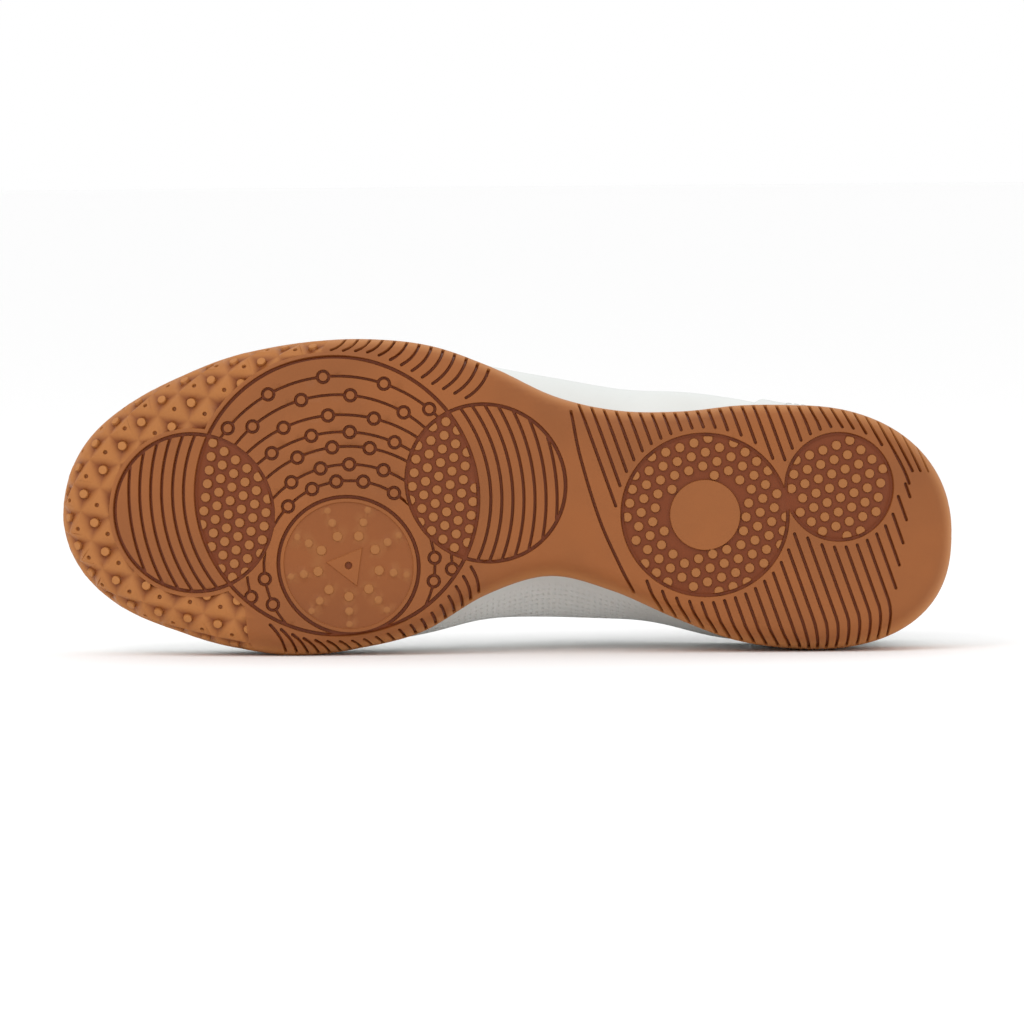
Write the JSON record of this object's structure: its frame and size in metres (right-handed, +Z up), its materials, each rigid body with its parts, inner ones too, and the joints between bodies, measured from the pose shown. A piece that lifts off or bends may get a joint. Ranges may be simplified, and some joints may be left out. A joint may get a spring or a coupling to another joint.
{
  "type": "indoor soccer shoe",
  "caption": "Low indoor football shoe for the left foot: gum rubber cup sole with ringed tread, white leather upper, laced throat, lying on its inner side.",
  "frame": {"origin": "the middle of the box's lower face, on the surface that the shoe lies on", "axes": "the shoe lies on its inner side: +X towards the heel, -X towards the toe, -Y out of the tread, +Z up to the outer side"},
  "size_m": [0.2878, 0.1048, 0.1018],
  "materials": {
    "gum_rubber": "matt gum rubber, moulded tread with darker grooves",
    "white_leather": "smooth white coated leather with a fine grain",
    "overlay_leather": "white leather overlays, a little duller, with stitched edges",
    "insole_textile": "pale grey knitted cover on foam",
    "tongue_textile": "white padded textile",
    "lace_cotton": "flat woven white lace"
  },
  "bodies": {
    "root": {"outsole": "gum_rubber", "upper": "white_leather", "insole": "insole_textile", "tongue": "tongue_textile", "toe_cap": "overlay_leather", "heel_counter": "overlay_leather", "eyestay": "overlay_leather", "lace": "lace_cotton"}
  },
  "joints": []
}
